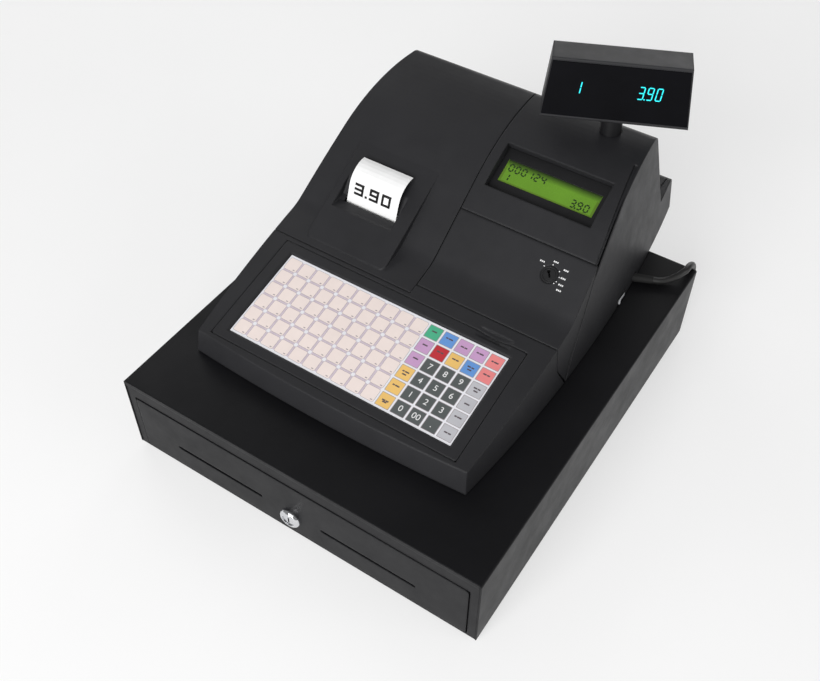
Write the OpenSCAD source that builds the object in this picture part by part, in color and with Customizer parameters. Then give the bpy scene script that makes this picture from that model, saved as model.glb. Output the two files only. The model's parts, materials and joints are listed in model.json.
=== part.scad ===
// Electronic cash register on a steel cash drawer.
// Millimetres. +X is the operator's right, +Y goes to the back, +Z is up.
// The origin is the middle of the footprint, at the underside of the drawer's rubber feet.
// Inside the modules, y is counted back from the drawer's front face (see place).

/* [Cash drawer] */
// Width of the drawer cabinet
cabinet_w = 386; // [384:1:388]
// Height of the drawer cabinet without its feet
cabinet_h = 92.5; // [92:0.5:94]
// Height of the rubber feet under the cabinet
foot_h = 4; // [3:0.5:6]
// Thickness of the cabinet's sheet steel
sheet_t = 1.2; // [1:0.1:1.5]

/* [Register body] */
// How far the register's middle sits to the left of the drawer's middle
register_offset = 11; // [9:1:13]
// Wall thickness of the plastic case
wall_t = 2.5; // [2.2:0.1:2.8]
// Width of the seams between case parts
seam = 0.8; // [0.6:0.1:1]

/* [Keyboard] */
// Columns of flat keys
key_columns = 15; // [14:1:15]
// Rows of flat keys
key_rows = 6; // [5:1:6]
// Distance between the centres of neighbouring keys
key_pitch = 16; // [15:0.5:16]

/* [Customer display] */
// How far the customer display is turned to the operator's left, in degrees
display_yaw = 24; // [0:1:60]
// How far its face leans back, in degrees
display_lean = 12; // [5:1:16]

/* [Hidden] */
$fn = 48;
run_gap = 0.05;

// Drawer cabinet
cabinet_d = 430;
half_w = cabinet_w / 2;
drawer_top = foot_h + cabinet_h;
top_strip_h = 18.5;
side_strip_w = 10;
frame_inset = 0.6;
panel_gap = 1;
panel_w = cabinet_w - 2 * side_strip_w - 2 * panel_gap;
panel_z0 = foot_h + sheet_t + 2.5;
panel_z1 = drawer_top - top_strip_h - panel_gap;
panel_t = 8;
slot_w = 101;
slot_h = 3.6;
slot_z = foot_h + 30.5;
slot_x = [-87, 80];
lock_x = -4;
lock_z = foot_h + 24;
lock_proud = 5;
bezel_r = 11;
barrel_r = 6.5;

// Drawer box, runners and rollers
box_half_w = 177;
box_y0 = panel_t;
box_y1 = 402;
box_z0 = foot_h + 6;
box_z1 = foot_h + 66;
rail_x = half_w - sheet_t - 0.3;
rail_z0 = foot_h + 17;
rail_z1 = foot_h + 38;
rail_t = 1.5;
rail_y0 = 9;
rail_y1 = 424;
roller_w = 6;
rear_roller_r = 10.2;
front_roller_r = 7;
rear_roller_y = 388;
front_roller_y = 22;
roller_z = (rail_z0 + rail_z1) / 2;
axle_r = 2;
runner_z = roller_z + front_roller_r + 0.3;
latch_x = 66;
latch_y = 420;
latch_z = foot_h + 38;
latch_open = 15;

// Till insert
till_half_w = 174;
till_y0 = 14;
till_y1 = 330;
till_z0 = foot_h + 34;
till_z1 = foot_h + 68;
till_columns = 4;
till_wall = 2.5;
cup_y0 = till_y0 + 6;
cup_d = 66;
bill_y0 = cup_y0 + 2 * (cup_d + till_wall) + till_wall;
till_pitch = (2 * till_half_w - 2 * till_wall) / till_columns;
clip_rod_r = 2;
clip_y = till_y1 - 9;
clip_z = till_z1 - 7;
clip_len = 64;
clip_dip = 18;

// Register case: a lofted body whose sides are slightly barrel-shaped in plan and lean inward
reg_x = -register_offset;
base_z = drawer_top + 1.7;
floor_z = base_z + 2;
body_back = 505;
mid_y = 250;
foot_x = 120;
foot_y = 150;
body_half_w = 161;
widest_y = 257;
side_r = 1482;
side_lean = 0.12;
front_y0 = 60.7;
front_r = 2070;
front_lean = 0.175;
cone_h = 170;
deck_tilt = 11.5;
deck_y = 60;
deck_z = foot_h + 117.6;
slope_a = 34.1;
crown_r = 181;
crown_y = 411.5;
crown_z = foot_h + 54.6;
valley_r = 40;
valley_y = 234.1;
valley_z = foot_h + 153;
shoulder_r = 12;
shoulder_y = 418;
crown_top = crown_z + crown_r;
back_foot_y = 460;
block_top = foot_h + 133.5;
split_x = -5.2;
cover_y = 198;
panel_y = 208.5;
lcd_y = 284.5;
side_y = 431;
back_half_w = 132;
skirt_drop = 16;
collar_h = 32;

// Seams on the right side, in (y, z): front edge of the lock panel, and front edge of the right case
deck_top = [panel_y, foot_h + 120];
deck_foot = [222, base_z - 1];
side_seam = [[222, base_z - 1], [236, foot_h + 119], [254, foot_h + 144], [lcd_y, foot_h + 186]];

// Keyboard, in the tilted plane of the deck
key_w = key_columns * key_pitch;
key_d = key_rows * key_pitch + 2;
key_x = reg_x;
key_y = 74.5;
frame_w = 267;
frame_d = 121.4;
frame_y = 75;
frame_x = reg_x - 0.8;
frame_t = 2.4;
frame_chamfer = 2.2;
sheet_drop = 1.5;
sheet_thick = 0.6;
lap = 3.5;
scoop_x = 88.5;
scoop_r = 71;
scoop_deep = 2.3;

// Operator display and mode lock, on the slope
lcd_w = 111;
lcd_d = 47.5;
lcd_x = 61;
lcd_mid_y = 330;
lcd_mid_z = foot_h + 214;
lcd_tilt = 25.8;
lcd_sink = 7;
glass_w = 99;
glass_d = 24;
mode_x = 102;
mode_y = 264;
mode_z = valley_z + (mode_y - valley_y) * tan(slope_a);
mode_ring_r = 8;
mode_rotor_r = 6;

// Customer display on its pole
pole_x = 83;
pole_y = 408;
pole_r = 10;
pole_depth = 75;
head_w = 137;
head_top_w = 126;
head_h = 56;
head_d = 32;
head_z = drawer_top + 160.5;
head_front = -11.6;
head_slope = 3;

// Receipt printer and paper
paper_w = 57.5;
paper_x = -89;
paper_t = 0.25;
housing_x0 = -133;
housing_x1 = -41;
housing_y0 = 206;
housing_y1 = 326;
housing_z0 = foot_h + 148;
housing_z1 = foot_h + 212;
throat_y0 = 239;
throat_y1 = 272;
throat_half = 34.5;
throat_x = -90.5;
slot_y = 255;
roll_r = 30;
roll_y = 345;
roll_z = foot_h + 150;
core_r = 6;
platen_r = 6;
platen_y = 252;
platen_z = foot_h + 141;
platen_teeth = 20;
pinion_teeth = 9;
pinion_y = platen_y - 8;
pinion_z = platen_z - 7.6;
hinge_y = shoulder_y;
hinge_z = crown_top - shoulder_r;
hinge_clear = 1.6;
lug_x = [-136, -30];
rear_lug = [[hinge_y - 4, hinge_z], [hinge_y - 4, hinge_z - 24], [hinge_y + 19, hinge_z - 24],
            [hinge_y + 16, hinge_z - 15], [hinge_y - 1, hinge_z - 15], [hinge_y - 1, hinge_z]];

// Power switch on the right side's lower edge
switch_y = 345.5;
rocker_pin_r = 1.4;
rocker_tilt = 7;

// Mains lead from the register's right side over the drawer's rear edge to the floor, then a coil
lead_r = 3.5;
lead_sides = 10;
gland_y = 381;
gland_turn = 22;
gland_len = 19;
gland_z = drawer_top + 4.4;
lead_floor = lead_r + 0.1;
bend_r = 28;
bend_x = 186;
bend_y = 412.7;
bend_z = drawer_top - 17.3;
coil_x = 45;
coil_y = 488;
coil_z = 0.9;
coil_out_r = 47;
coil_in_r = 31;
coil_h = 22;
floor_bend_r = 30;
plug_y = coil_y + coil_out_r - lead_r;
plug_x = coil_x - 41;
plug_z = 7;

front_y = -(body_back - lock_proud) / 2;

// ---------------------------------------------------------------- helpers

// Moves y = 0 to the drawer's front face.
module place() {
    translate([0, front_y, 0])
        children();
}

// Extrudes a drawing made in (y, z) along X, centred on X = 0.
module along_x(length) {
    rotate([90, 0, 90])
        linear_extrude(length, center = true)
            children();
}

// A box from its two opposite corners.
module box(a, b) {
    translate(a)
        cube(b - a);
}

// A rectangle with rounded corners, centred on the origin.
module rounded_rect(w, d, r) {
    offset(r = r)
        square([w - 2 * r, d - 2 * r], center = true);
}

// A round rod along X from x0 to x1 at (y, z).
module rod_x(x0, x1, y, z, r) {
    translate([x0, y, z])
        rotate([0, 90, 0])
            cylinder(h = x1 - x0, r = r);
}

// A round rod along Y from y0 to y1 at (x, z).
module rod_y(y0, y1, x, z, r) {
    translate([x, y0, z])
        rotate([-90, 0, 0])
            cylinder(h = y1 - y0, r = r);
}

function arc(cy, cz, r, a0, a1, steps) =
    [for (i = [0 : steps]) [cy + r * cos(a0 + (a1 - a0) * i / steps),
                            cz + r * sin(a0 + (a1 - a0) * i / steps)]];

// Puts children on the keyboard deck: x to the right, y up the slope, z out of it.
module on_deck() {
    translate([0, deck_y, deck_z])
        rotate([deck_tilt, 0, 0])
            children();
}

// Puts children on the middle of the operator display's sloping window.
module on_lcd() {
    translate([lcd_x, lcd_mid_y, lcd_mid_z])
        rotate([lcd_tilt, 0, 0])
            children();
}

// Puts children on the mode lock's axis, z out of the slope.
module on_mode_lock() {
    translate([mode_x, mode_y, mode_z])
        rotate([slope_a, 0, 0])
            children();
}

// Puts children on the customer display's turning axis, turned with the head.
module on_pole() {
    translate([pole_x, pole_y, 0])
        rotate([0, 0, display_yaw])
            children();
}

// Puts children at the mains lead's exit, x along the lead.
module at_gland() {
    translate([gland_x, gland_y, gland_z])
        rotate([0, 0, gland_turn])
            children();
}

// ---------------------------------------------------------------- register body shape

// Side view of the body, from the front foot over the deck, slope and crown to the low rear block.
module side_view() {
    concave_start = valley_r * tan((slope_a - deck_tilt) / 2);
    bend_y = valley_y - concave_start * cos(deck_tilt) - valley_r * sin(deck_tilt);
    bend_z = valley_z - concave_start * sin(deck_tilt) + valley_r * cos(deck_tilt);
    polygon(concat(
        [[40, base_z], [40, deck_z - 20 * tan(deck_tilt)]],
        arc(bend_y, bend_z, valley_r, deck_tilt - 90, slope_a - 90, 6),
        arc(crown_y, crown_z, crown_r, 90 + slope_a, 90, 16),
        arc(shoulder_y, crown_top - shoulder_r, shoulder_r, 90, 18, 8),
        [[back_foot_y, block_top]],
        arc(body_back - 7, block_top - 7, 7, 90, 0, 5),
        [[body_back, base_z]]
    ));
}

// x of the body's right side at height z and distance y from the front.
function side_x(y, z) =
    reg_x + body_half_w - side_r + sqrt(side_r * side_r - (y - widest_y) * (y - widest_y))
    - side_lean * (z - base_z);

switch_x = side_x(switch_y, base_z + 4.5);

// The register's outer body pulled in by inset on every side; an inner one also runs out below.
module body(inset) {
    below = inset > 0 ? 6 : 0;
    intersection() {
        translate([reg_x, 0, 0])
            along_x(2 * body_half_w + 20)
                union() {
                    offset(delta = -inset)
                        side_view();
                    translate([0, -below])
                        offset(delta = -inset)
                            side_view();
                }
        side_cone(1, inset);
        side_cone(-1, inset);
        translate([reg_x, front_y0 + front_r, base_z - 10])
            cylinder(h = cone_h, r1 = front_r - inset + 10 * front_lean,
                     r2 = front_r - inset - (cone_h - 10) * front_lean, $fn = 1000);
    }
}

// One barrel-shaped, inward-leaning side of the body.
module side_cone(side, inset) {
    translate([reg_x + side * (body_half_w - side_r), widest_y, base_z - 10])
        cylinder(h = cone_h, r1 = side_r - inset + 10 * side_lean,
                 r2 = side_r - inset - (cone_h - 10) * side_lean, $fn = 720);
}

// The case wall.
module shell() {
    difference() {
        body(0);
        body(wall_t);
    }
}

// A region bounded in the side view, from x0 to x1.
module region(x0, x1, outline) {
    translate([(x0 + x1) / 2, 0, 0])
        along_x(x1 - x0)
            polygon(outline);
}

// ---------------------------------------------------------------- cash drawer

module drawer_cover() {
    color([0.08, 0.08, 0.085])
        place()
            difference() {
                union() {
                    translate([0, cabinet_d / 2, 0])
                        rotate([90, 0, 0])
                            linear_extrude(cabinet_d, center = true)
                                difference() {
                                    translate([0, foot_h + cabinet_h / 2])
                                        rounded_rect(cabinet_w, cabinet_h, 2);
                                    translate([0, foot_h + cabinet_h / 2 - sheet_t])
                                        rounded_rect(cabinet_w - 2 * sheet_t, cabinet_h, 1);
                                }
                    box([-half_w + 2, 0, drawer_top - 5], [half_w - 2, frame_inset, drawer_top - 1]);
                }
                for (x = [-1, 1], y = [-1, 1])
                    translate([reg_x + x * foot_x, mid_y + y * foot_y, drawer_top - 3])
                        cylinder(h = 6, r = 4);
            }
}

module drawer_chassis() {
    inner = half_w - sheet_t - 0.1;
    color([0.09, 0.09, 0.095])
        place()
            union() {
                box([-inner, frame_inset, foot_h], [inner, cabinet_d - 0.6, foot_h + sheet_t]);
                box([-inner, cabinet_d - 0.6 - sheet_t, foot_h],
                    [inner, cabinet_d - 0.6, drawer_top - sheet_t - 0.2]);
                difference() {
                    box([-inner, frame_inset, foot_h],
                        [inner, frame_inset + sheet_t, drawer_top - sheet_t - 0.1]);
                    box([-panel_w / 2 - panel_gap, 0, panel_z0 - panel_gap],
                        [panel_w / 2 + panel_gap, 3, panel_z1 + panel_gap]);
                }
            }
}

// Two channel rails on the cabinet's sides with the front rollers' axles.
module drawer_rails() {
    color([0.62, 0.62, 0.63])
        place()
            for (side = [-1, 1])
                mirror([side < 0 ? 1 : 0, 0, 0])
                    union() {
                        box([rail_x - rail_t, rail_y0, rail_z0 - rail_t],
                            [rail_x, rail_y1, rail_z1 + rail_t]);
                        box([rail_x - 11, rail_y0, rail_z0 - rail_t], [rail_x, rail_y1, rail_z0]);
                        box([rail_x - 11, 44, rail_z1], [rail_x, rail_y1, rail_z1 + rail_t]);
                        rod_x(rail_x - 12.5, rail_x - 0.5, front_roller_y, roller_z, axle_r);
                    }
}

module roller_pair(x, y, r) {
    for (side = [-1, 1])
        difference() {
            rod_x(side * x - roller_w / 2, side * x + roller_w / 2, y, roller_z, r);
            rod_x(side * x - roller_w, side * x + roller_w, y, roller_z, axle_r + run_gap);
        }
}

module drawer_front_rollers() {
    color([0.85, 0.85, 0.82])
        place()
            roller_pair(rail_x - 9, front_roller_y, front_roller_r);
}

module drawer_rear_rollers() {
    color([0.85, 0.85, 0.82])
        place()
            roller_pair(rail_x - 5.6, rear_roller_y, rear_roller_r);
}

module drawer_box() {
    color([0.5, 0.5, 0.51])
        place()
            union() {
                difference() {
                    box([-box_half_w, box_y0, box_z0], [box_half_w, box_y1, box_z1]);
                    box([-box_half_w + sheet_t, box_y0 + sheet_t, box_z0 + sheet_t],
                        [box_half_w - sheet_t, box_y1 - sheet_t, box_z1 + 1]);
                    slots(box_y0 - 1, box_y0 + 3, 1);
                    rod_y(box_y0 - 1, box_y0 + 3, lock_x, lock_z, barrel_r + 2);
                }
                for (side = [-1, 1])
                    mirror([side < 0 ? 1 : 0, 0, 0]) {
                        box([box_half_w - 0.2, 9, runner_z], [box_half_w + 5.6, 372, runner_z + sheet_t]);
                        rod_x(box_half_w - 1, rail_x - 2.8, rear_roller_y, roller_z, axle_r);
                        box([box_half_w - 8, till_y0, till_z0 - 2], [box_half_w - 1, till_y1, till_z0 - 0.1]);
                    }
                box([latch_x - 8, box_y1 - 0.2, latch_z - 4], [latch_x, latch_y - 6, latch_z - 1]);
                translate([latch_x - 3.5, latch_y - 10, latch_z - 3])
                    cylinder(h = 8, r = 1.8);
            }
}

// The two slots through which notes and cheques go under the till.
module slots(y0, y1, grow) {
    for (x = slot_x)
        hull()
            for (side = [-1, 1])
                rod_y(y0, y1, x + side * (slot_w - slot_h) / 2, slot_z, slot_h / 2 + grow, $fn = 24);
}

module drawer_front_panel() {
    color([0.07, 0.07, 0.075])
        place()
            difference() {
                translate([0, 0, (panel_z0 + panel_z1) / 2])
                    rotate([-90, 0, 0])
                        linear_extrude(panel_t)
                            rounded_rect(panel_w, panel_z1 - panel_z0, 3);
                box([-panel_w / 2 + 2, 2, panel_z0 + 2], [panel_w / 2 - 2, panel_t + 1, panel_z1 - 2]);
                slots(-1, 3, 0);
                rod_y(-1, 3, lock_x, lock_z, barrel_r + 2.6);
            }
}

// Domed chrome ring that carries the lock's barrel.
module drawer_lock_bezel() {
    color([0.8, 0.8, 0.82])
        place()
            translate([lock_x, 0, lock_z])
                rotate([90, 0, 0])
                    difference() {
                        union() {
                            rotate_extrude()
                                polygon(concat([[0, 0], [bezel_r, 0], [bezel_r, 1]],
                                               arc(bezel_r - 4, 1, 4, 0, 90, 6), [[0, lock_proud]]));
                            translate([0, 0, -panel_t + 0.4])
                                cylinder(h = panel_t, r = barrel_r + 1.8);
                        }
                        translate([0, 0, -panel_t])
                            cylinder(h = 2 * panel_t + lock_proud, r = barrel_r + run_gap);
                    }
}

// Lock barrel with its keyway and the cam at its inner end.
module drawer_lock_barrel() {
    color([0.72, 0.72, 0.74])
        place()
            translate([lock_x, 0, lock_z])
                rotate([90, 0, 0])
                    difference() {
                        union() {
                            translate([0, 0, -panel_t - 3])
                                cylinder(h = panel_t + 3 + lock_proud - 1, r = barrel_r);
                            translate([-4.5, -4.5, -panel_t - 4.5])
                                cube([18, 9, 2]);
                        }
                        translate([-0.8, -3.6, lock_proud - 5])
                            cube([1.6, 7.2, 6]);
                    }
}

// Electric drawer release: coil with its plunger and the upright pin of the latch lever.
module drawer_latch_solenoid() {
    color([0.35, 0.3, 0.2])
        place()
            union() {
                box([latch_x - 38, latch_y - 5, latch_z - 8], [latch_x - 12, latch_y + 7, latch_z + 12]);
                rod_x(latch_x - 12.5, latch_x - 6, latch_y + 4.5, latch_z + 1.5, 1.5);
                box([latch_x - 36, latch_y - 4, foot_h + sheet_t],
                    [latch_x - 14, latch_y + 6, latch_z - 7.9]);
                box([latch_x - 16, latch_y - 4, foot_h + sheet_t],
                    [latch_x + 6, latch_y + 6, foot_h + sheet_t + 2]);
                translate([latch_x, latch_y, foot_h + sheet_t])
                    cylinder(h = latch_z + 7 - foot_h - sheet_t, r = axle_r);
            }
}

// Hooked lever that turns about an upright pin and holds the drawer box shut; drawn let go.
module drawer_latch_lever() {
    color([0.75, 0.72, 0.55])
        place()
            translate([latch_x, latch_y, latch_z])
                rotate([0, 0, latch_open])
                    difference() {
                        union() {
                            cylinder(h = 4, r = 4.5);
                            box([0, -16, 0], [3.5, 0, 3]);
                            box([-5, -15.5, 0], [3.5, -13, 3]);
                            box([-1.6, 0, 0], [1.6, 6, 3]);
                        }
                        translate([0, 0, -1])
                            cylinder(h = 10, r = axle_r + run_gap);
                    }
}

module drawer_feet() {
    color([0.05, 0.05, 0.05])
        place()
            for (x = [-1, 1], y = [26, cabinet_d - 26])
                translate([x * (half_w - 26), y, 0])
                    cylinder(h = foot_h, r1 = 9, r2 = 10.5);
}

module drawer_screws() {
    color([0.3, 0.3, 0.31])
        place()
            for (side = [-1, 1], y = [70, 215, 360])
                mirror([side < 0 ? 1 : 0, 0, 0])
                    translate([rail_x - rail_t - 0.8, y, roller_z])
                        rotate([0, 90, 0])
                            cylinder(h = 0.8, r = 3);
}

// Till insert: two rows of coin cups in front of a row of note wells.
module till_tray() {
    color([0.06, 0.06, 0.065])
        place()
            difference() {
                box([-till_half_w, till_y0, till_z0], [till_half_w, till_y1, till_z1]);
                for (column = [0 : till_columns - 1]) {
                    x0 = -till_half_w + till_wall + column * till_pitch;
                    for (row = [0, 1])
                        coin_cup(x0, cup_y0 + row * (cup_d + till_wall));
                    box([x0 + till_wall / 2, bill_y0, till_z0 + 2],
                        [x0 + till_pitch - till_wall / 2, till_y1 - till_wall, till_z1 + 1]);
                }
                for (column = [1 : till_columns - 1])
                    translate([-till_half_w + till_wall + column * till_pitch, 0, 0])
                        box([-2, clip_y - 5, clip_z - 3], [2, till_y1 - till_wall, till_z1 + 1]);
                rod_x(-till_half_w + 0.5, till_half_w - 0.5, clip_y, clip_z, clip_rod_r + run_gap);
            }
}

// A coin cup with a scooped front.
module coin_cup(x0, y0) {
    w = till_pitch - till_wall;
    scoop_r = 24;
    translate([x0 + till_wall / 2 + w / 2, 0, 0])
        along_x(w)
            polygon(concat([[y0 + cup_d, till_z1 + 1], [y0, till_z1 + 1]],
                           arc(y0 + scoop_r, till_z0 + 2 + scoop_r, scoop_r, 180, 270, 8),
                           [[y0 + cup_d, till_z0 + 2]]));
}

module bill_clip_rod() {
    color([0.65, 0.65, 0.66])
        place()
            rod_x(-till_half_w + 0.6, till_half_w - 0.6, clip_y, clip_z, clip_rod_r);
}

// Weighted clip that holds the notes down in one well.
module bill_clip(column) {
    x = -till_half_w + till_wall + (column + 0.5) * till_pitch;
    color([0.1, 0.1, 0.105])
        place()
            translate([x, clip_y, clip_z])
                rotate([clip_dip, 0, 0])
                    difference() {
                        union() {
                            rod_x(-14, 14, 0, 0, 4.5);
                            box([-6, -clip_len, -1.5], [6, 0, 1.5]);
                            rod_x(-15, 15, -clip_len, -0.5, 4);
                        }
                        rod_x(-20, 20, 0, 0, clip_rod_r + run_gap);
                    }
}

module bill_clip_1() bill_clip(0);
module bill_clip_2() bill_clip(1);
module bill_clip_3() bill_clip(2);
module bill_clip_4() bill_clip(3);

// ---------------------------------------------------------------- register case

// Shallow tray that closes the body from below and carries everything inside.
module base_case() {
    color([0.1, 0.1, 0.105])
        place()
            difference() {
                intersection() {
                    body(wall_t + 0.3);
                    box([-250, 0, base_z], [250, 600, base_z + 10]);
                }
                intersection() {
                    body(wall_t + 2.5);
                    box([-250, 0, floor_z], [250, 600, base_z + 20]);
                }
                at_gland()
                    box([-14, -6, -10], [20, 6, 10]);
                box([switch_x - 12, switch_y - 11, base_z - 1], [switch_x + 10, switch_y + 11, base_z + 12]);
            }
}

module register_feet() {
    color([0.05, 0.05, 0.05])
        place()
            for (x = [-1, 1], y = [-1, 1])
                translate([reg_x + x * foot_x, mid_y + y * foot_y, drawer_top - sheet_t - 1])
                    cylinder(h = base_z - drawer_top + sheet_t + 1, r = 3.8);
}

// Upper case around the keyboard, with a ledge under the removable frame.
module keyboard_deck() {
    frame_x0 = frame_x - frame_w / 2;
    frame_x1 = frame_x + frame_w / 2;
    frame_y0 = frame_y - frame_d / 2;
    frame_y1 = frame_y + frame_d / 2;
    color([0.24, 0.24, 0.26])
        place()
            union() {
                difference() {
                    union() {
                        shell();
                        on_deck()
                            box([scoop_x - 22, frame_y1 + 0.5, -4.8], [scoop_x + 22, frame_y1 + 9, -1]);
                    }
                    region(-250, split_x, [[cover_y - seam / 2, 0], [cover_y - seam / 2, 400],
                                           [600, 400], [600, 0]]);
                    region(split_x - 1, 250, [[deck_foot.x - seam / 2, 0], deck_foot - [seam / 2, 0],
                                              deck_top - [seam / 2, 0], [deck_top.x - seam / 2, 400],
                                              [600, 400], [600, 0]]);
                    on_deck()
                        box([frame_x0 - 0.3, frame_y0 - 0.3, -20], [frame_x1 + 0.3, frame_y1 + 0.3, 20]);
                    finger_scoop();
                }
                on_deck()
                    difference() {
                        box([frame_x0 - 5, frame_y0 - 5, -frame_t - 1.25],
                            [frame_x1 + 5, frame_y1 + 1, -frame_t - 0.05]);
                        box([frame_x0 + 4, frame_y0 + 4, -20], [frame_x1 - 4, frame_y1 - 4, 20]);
                    }
            }
}

// Scoop that lets a finger lift the frame.
module finger_scoop() {
    on_deck()
        translate([scoop_x, frame_y + frame_d / 2, scoop_r - scoop_deep])
            rotate([-90, 0, 0])
                cylinder(h = 10, r = scoop_r, center = true, $fn = 96);
}

// Removable frame that clamps the printed key sheet.
module keyboard_frame() {
    open_w = key_w + 0.6;
    open_d = key_d + 0.3;
    color([0.26, 0.26, 0.28])
        place()
            difference() {
                on_deck()
                    difference() {
                        translate([frame_x, frame_y, -frame_t])
                            linear_extrude(frame_t)
                                rounded_rect(frame_w - 0.5, frame_d - 0.5, 2.5);
                        translate([key_x, key_y, -5])
                            linear_extrude(10)
                                rounded_rect(open_w, open_d, 1.2);
                        hull() {
                            translate([key_x, key_y, -sheet_drop])
                                cube([open_w, open_d, 0.02], center = true);
                            translate([key_x, key_y, 0])
                                cube([open_w + 2 * frame_chamfer, open_d + 2 * frame_chamfer, 0.02],
                                     center = true);
                        }
                        translate([key_x, key_y, -5])
                            linear_extrude(5.1 - sheet_drop)
                                square([key_w + 2 * lap + 0.6, key_d + 2 * lap + 0.6], center = true);
                    }
                finger_scoop();
            }
}

module key_sheet() {
    color([0.93, 0.93, 0.95])
        place()
            on_deck()
                translate([key_x, key_y, -sheet_drop - sheet_thick])
                    linear_extrude(sheet_thick)
                        square([key_w + 2 * lap, key_d + 2 * lap], center = true);
}

// Pressure-sensitive switch layer: a dome under every key.
module key_switch_layer() {
    color([0.75, 0.78, 0.8])
        place()
            on_deck()
                translate([key_x, key_y, -frame_t - 1.25]) {
                    linear_extrude(0.6)
                        square([key_w + 2 * lap, key_d + 2 * lap], center = true);
                    for (column = [1 : key_columns], row = [1 : key_rows])
                        translate([(column - (key_columns + 1) / 2) * key_pitch,
                                   (row - (key_rows + 1) / 2) * key_pitch, 0.5])
                            cylinder(h = 0.9, r = 5, $fn = 24);
                }
}

module key_backplate() {
    color([0.6, 0.6, 0.62])
        place()
            on_deck()
                translate([frame_x, frame_y, -frame_t - 1.25 - 2])
                    linear_extrude(2)
                        square([frame_w - 2, frame_d - 2], center = true);
}

// Sloping panel that carries the mode lock, wrapped over the right edge.
module mode_lock_panel() {
    color([0.24, 0.24, 0.26])
        place()
            difference() {
                intersection() {
                    shell();
                    region(split_x + seam / 2, 250,
                           [deck_top + [seam / 2, 0], [deck_top.x + seam / 2, 400], [lcd_y - seam / 2, 400],
                            [lcd_y - seam / 2, side_seam[3].y], side_seam[2] - [1, 0], side_seam[1] - [1, 0],
                            deck_foot + [seam, 3]]);
                }
                on_mode_lock()
                    cylinder(h = 30, r = mode_ring_r + 0.2, center = true);
            }
}

// Fixed part of the mode lock: a ring in the panel and the switch housing under it.
module mode_lock_body() {
    color([0.13, 0.13, 0.14])
        place()
            on_mode_lock()
                difference() {
                    union() {
                        translate([0, 0, -14])
                            cylinder(h = 14.6, r = mode_ring_r);
                        translate([-12, -12, -18])
                            cube([24, 24, 12]);
                    }
                    translate([0, 0, -16])
                        cylinder(h = 30, r = mode_rotor_r + run_gap);
                }
}

module mode_lock_rotor() {
    color([0.3, 0.3, 0.31])
        place()
            on_mode_lock()
                difference() {
                    translate([0, 0, -15])
                        cylinder(h = 15.4, r = mode_rotor_r);
                    rotate([0, 0, 35])
                        translate([-0.8, -3, -6])
                            cube([1.6, 6.4, 10]);
                    rotate([0, 0, 35])
                        translate([0, 3, -6])
                            cylinder(h = 10, r = 1.5);
                }
}

// Right part of the upper case: operator display surround, crown and the whole right side.
module right_case() {
    top_left = split_x + seam / 2;
    color([0.25, 0.25, 0.27])
        place()
            difference() {
                union() {
                    intersection() {
                        shell();
                        region(top_left, 250, concat([[side_seam[0].x + 1.2, 0]],
                               [for (i = [0 : 2]) side_seam[i] + [1.2, 0]],
                               [[lcd_y + seam / 2, side_seam[3].y], [lcd_y + seam / 2, 400],
                                [600, 400], [600, 0]]));
                    }
                    intersection() {
                        body(0.5);
                        on_lcd()
                            difference() {
                                box([-lcd_w / 2 - 2, -lcd_d / 2 - 2, -lcd_sink - 1.5],
                                    [lcd_w / 2 + 2, lcd_d / 2 + 2, 10]);
                                box([-lcd_w / 2, -lcd_d / 2, -30], [lcd_w / 2, lcd_d / 2, 30]);
                            }
                    }
                    translate([pole_x, pole_y, crown_top - collar_h])
                        cylinder(h = collar_h - 1, r = pole_r + 2.5);
                }
                region(-250, reg_x + back_half_w + seam / 2,
                       [[side_y - 0.4, 0], [side_y - 0.4, hinge_z - 2], [600, hinge_z - 2], [600, 0]]);
                on_lcd()
                    box([-lcd_w / 2, -lcd_d / 2, -30], [lcd_w / 2, lcd_d / 2, 30]);
                top_groove();
                translate([pole_x, pole_y, 0])
                    cylinder(h = 400, r = pole_r + run_gap);
                box([120, switch_y - 10.7, 0], [200, switch_y + 10.7, base_z + 9.2]);
                at_gland()
                    box([-14, -4.6, -20], [20, 4.6, 4.6]);
            }
}

// Groove that runs along the right edge above the slope.
module top_groove() {
    difference() {
        translate([0, 0, 100])
            linear_extrude(200)
                polygon([[136.9, 280], [139.7, 280], [133.9, 326], [125.8, 378], [122.4, 378], [130.1, 326]]);
        body(1.6);
    }
}

module left_side_panel() {
    color([0.24, 0.24, 0.26])
        place()
            difference() {
                intersection() {
                    shell();
                    region(-250, reg_x - 100, [[cover_y + seam / 2, 0], [cover_y + seam / 2, 400],
                                               [600, 400], [600, 0]]);
                }
                region(reg_x - back_half_w - seam / 2, 0, [[0, 0], [0, 400], [600, 400], [600, 0]]);
                difference() {
                    above_body(skirt_drop + seam);
                    region(-250, 250, [[side_y, 0], [side_y, hinge_z - 2], [600, hinge_z - 2], [600, 0]]);
                }
                rod_x(-250, 0, hinge_y, hinge_z, shoulder_r + hinge_clear);
            }
}

// Everything above the body's upper surface, itself lowered by drop.
module above_body(drop) {
    difference() {
        box([-250, 100, base_z], [250, 600, 400]);
        translate([reg_x, 0, -drop])
            along_x(600)
                union() {
                    side_view();
                    square([600, deck_z]);
                }
    }
}

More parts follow.
